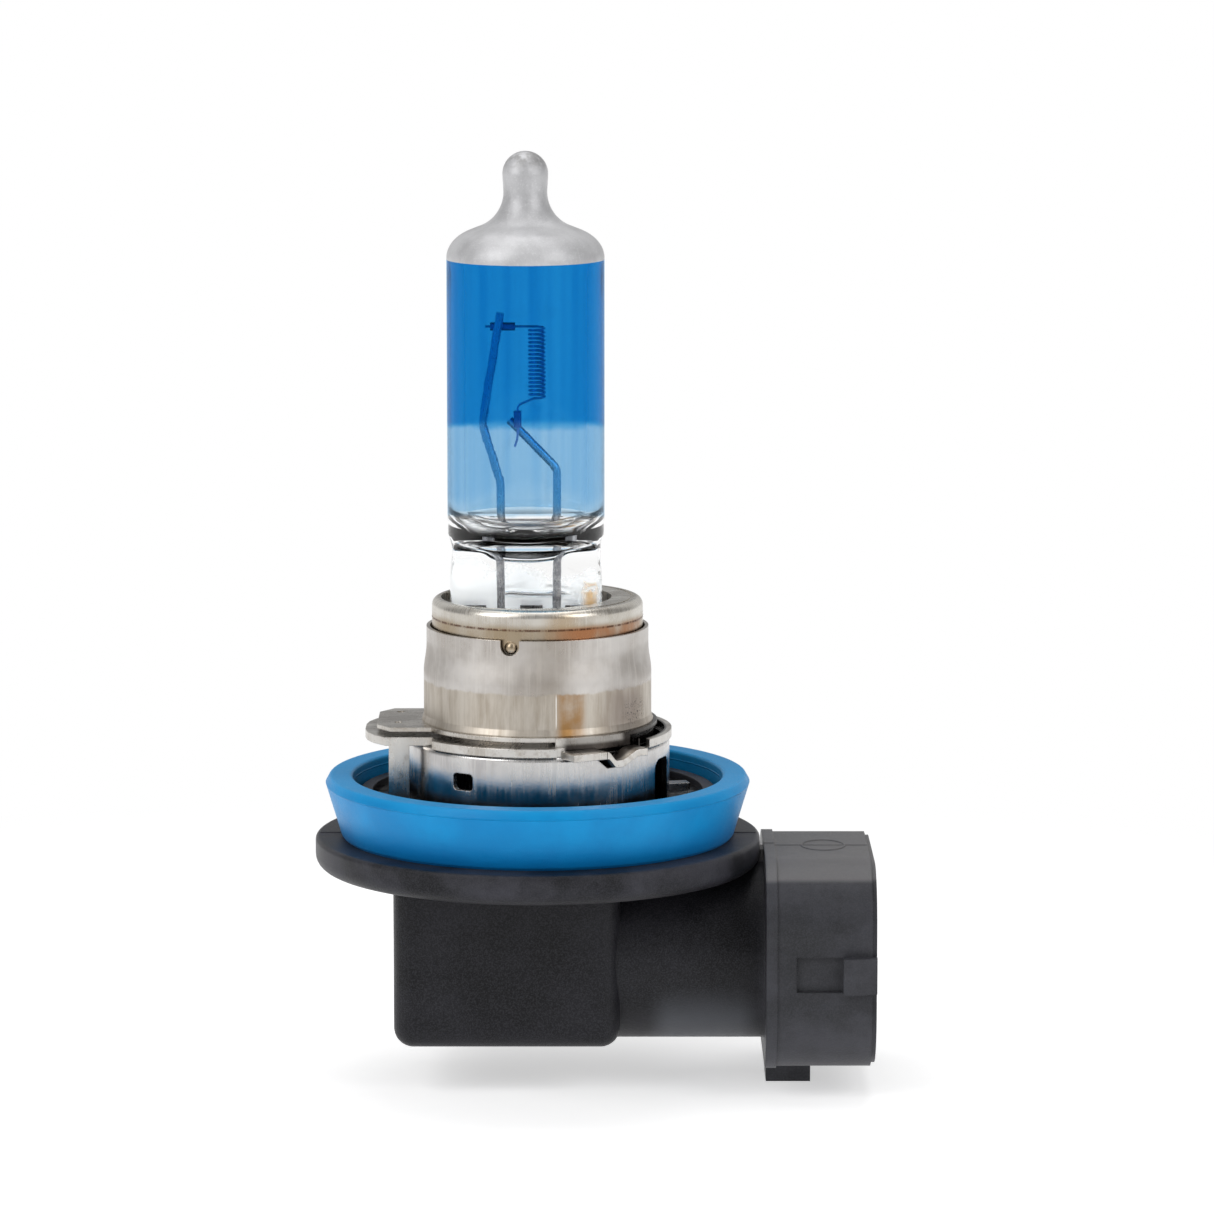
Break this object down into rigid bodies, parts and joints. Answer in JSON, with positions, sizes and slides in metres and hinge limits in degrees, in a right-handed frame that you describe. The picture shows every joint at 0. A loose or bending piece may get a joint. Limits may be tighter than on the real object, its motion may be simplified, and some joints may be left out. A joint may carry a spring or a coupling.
{
  "type": "headlight bulb",
  "caption": "Halogen headlight bulb with coated glass tube, axial coil, steel bayonet cap, blue seal ring and black right-angle connector base.",
  "frame": {"origin": "on the axis of the round cap, at the underside of the plate with the lugs, which is the lamp's reference plane", "axes": "+Z along the cap's axis to the glass tip, +X to the connector's mouth, +Y across the base"},
  "size_m": [0.0399, 0.0318, 0.0668],
  "materials": {
    "glass": "clear hard glass, polished",
    "blue_coating": "thin transparent blue filter layer, deeper towards the tip",
    "tip_coating": "fine matte silver-grey pigment layer",
    "tungsten": "drawn tungsten wire",
    "clamp_metal": "crimped molybdenum sheet",
    "lead_metal": "drawn molybdenum wire",
    "clip_steel": "bare spring steel",
    "ring_steel": "drawn stainless steel with brown heat tint under the rim",
    "sleeve_steel": "drawn stainless steel, brushed round the foot, faint brown tint",
    "plate_steel": "satin stamped stainless sheet",
    "cap_steel": "smooth drawn stainless steel",
    "compound": "glossy black cast resin",
    "silicone": "smooth blue silicone rubber, satin",
    "base_plastic": "black glass-filled moulding, fine satin grain",
    "terminal_metal": "tin-plated brass strip"
  },
  "bodies": {
    "lamp": {"glass_envelope": "glass", "blue_coating": "blue_coating", "tip_coating": "tip_coating", "filament": "tungsten", "upper_filament_clamp": "clamp_metal", "lower_filament_clamp": "clamp_metal", "long_lead_wire": "lead_metal", "short_lead_wire": "lead_metal", "pinch_clip": "clip_steel", "inner_collar": "ring_steel", "adjusting_sleeve": "sleeve_steel", "lug_ring": "plate_steel", "spring_ring": "plate_steel", "mounting_ring": "cap_steel", "sealing_compound": "compound", "seal_ring": "silicone", "base_housing": "base_plastic", "positive_terminal": "terminal_metal", "negative_terminal": "terminal_metal"},
    "detent": {"detent_spring": "plate_steel"}
  },
  "joints": [
    {"name": "detent_flex", "type": "hinge", "parent": "lamp", "child": "detent", "pos_m": [0.00457, -0.00862, 0.00013], "axis": [0.5, -0.866, 0], "range_deg": [0, 4], "stiffness_Nm_per_rad": 0.5}
  ]
}
